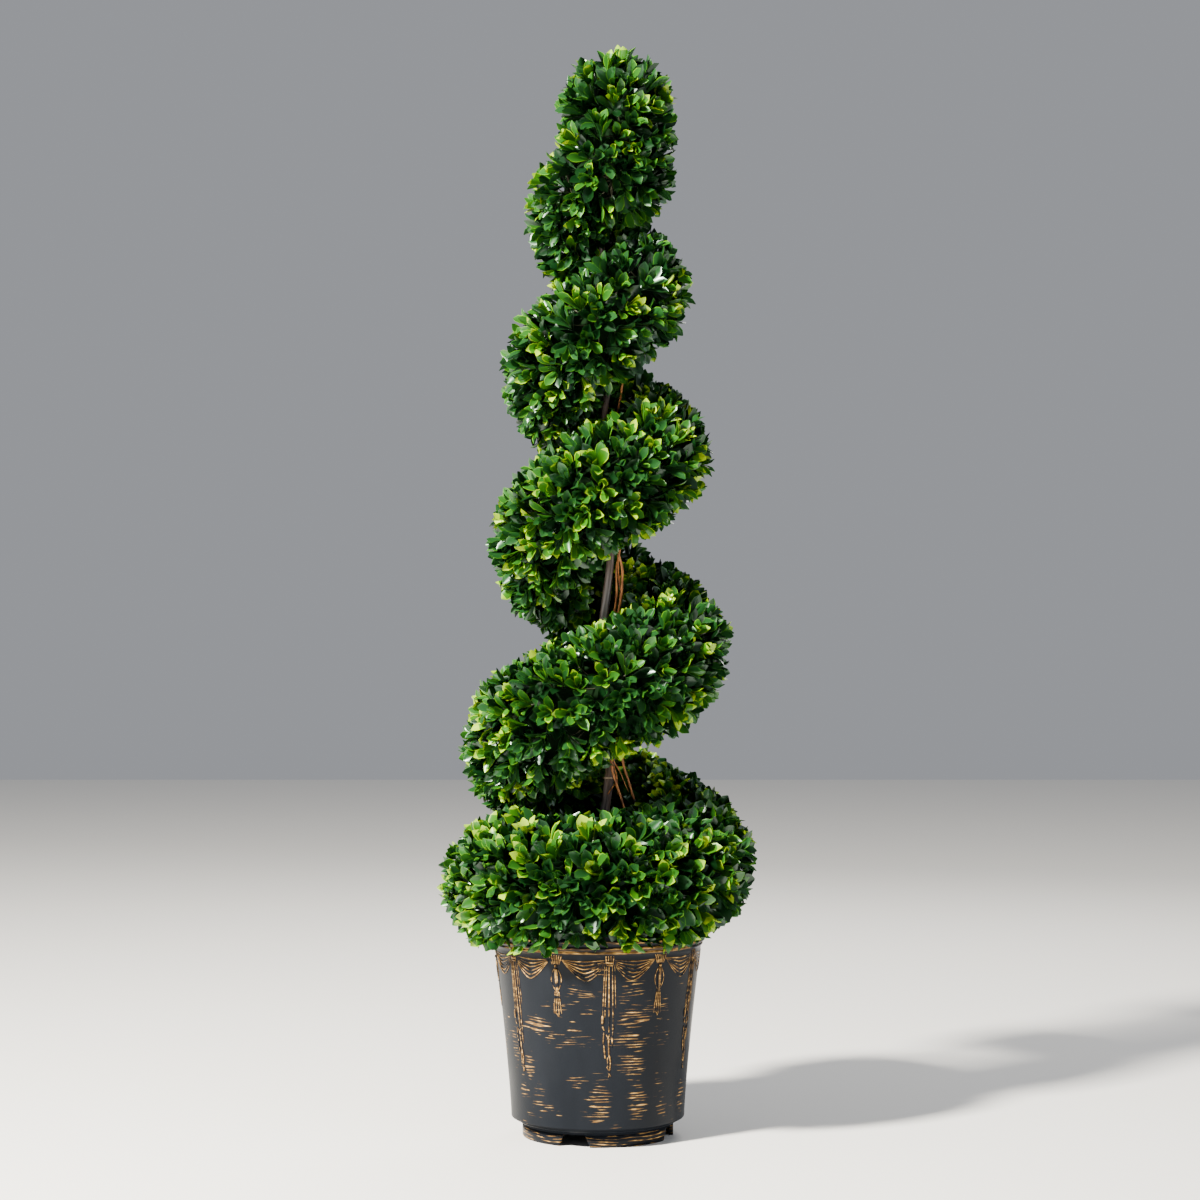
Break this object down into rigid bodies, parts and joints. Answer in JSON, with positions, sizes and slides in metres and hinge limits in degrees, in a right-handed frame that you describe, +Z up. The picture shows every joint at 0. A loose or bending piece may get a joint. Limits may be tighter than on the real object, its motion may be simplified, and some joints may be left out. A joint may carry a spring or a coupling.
{
  "type": "artificial spiral topiary in a pot",
  "caption": "Artificial spiral topiary: one clipped band of small glossy leaves winds up round a slim trunk to a dome, in a dark round pot with swags and tassels.",
  "frame": {"origin": "on the ground, at the centre of the overall box, which is the pot's axis within a few millimetres", "axes": "+Z up the trunk, -Y the side the picture shows, +X to its right"},
  "size_m": [0.43, 0.4198, 1.5007],
  "materials": {
    "pot_plastic": "satin charcoal with a worn gilt dry-brushing on its raised ornament",
    "fill": "rough, dull",
    "trunk_bark": "grey-brown bark with an upright grain, satin",
    "shoot_bark": "orange-brown, smooth",
    "twine": "pale, matt",
    "leaves": "glossy green with lime young leaves"
  },
  "bodies": {
    "root": {"pot": "pot_plastic", "pot_fill": "fill", "trunk": "trunk_bark", "trunk_tie": "twine", "lower_shoot": "shoot_bark", "lower_outer_shoot": "shoot_bark", "middle_shoot": "shoot_bark", "middle_inner_shoot": "shoot_bark", "upper_shoot": "shoot_bark", "foliage_01": "leaves", "foliage_02": "leaves", "foliage_03": "leaves", "foliage_04": "leaves", "foliage_05": "leaves", "foliage_06": "leaves", "foliage_07": "leaves", "foliage_08": "leaves", "foliage_09": "leaves", "foliage_10": "leaves", "foliage_11": "leaves", "foliage_12": "leaves", "foliage_13": "leaves", "foliage_14": "leaves", "foliage_dome": "leaves"}
  },
  "joints": []
}
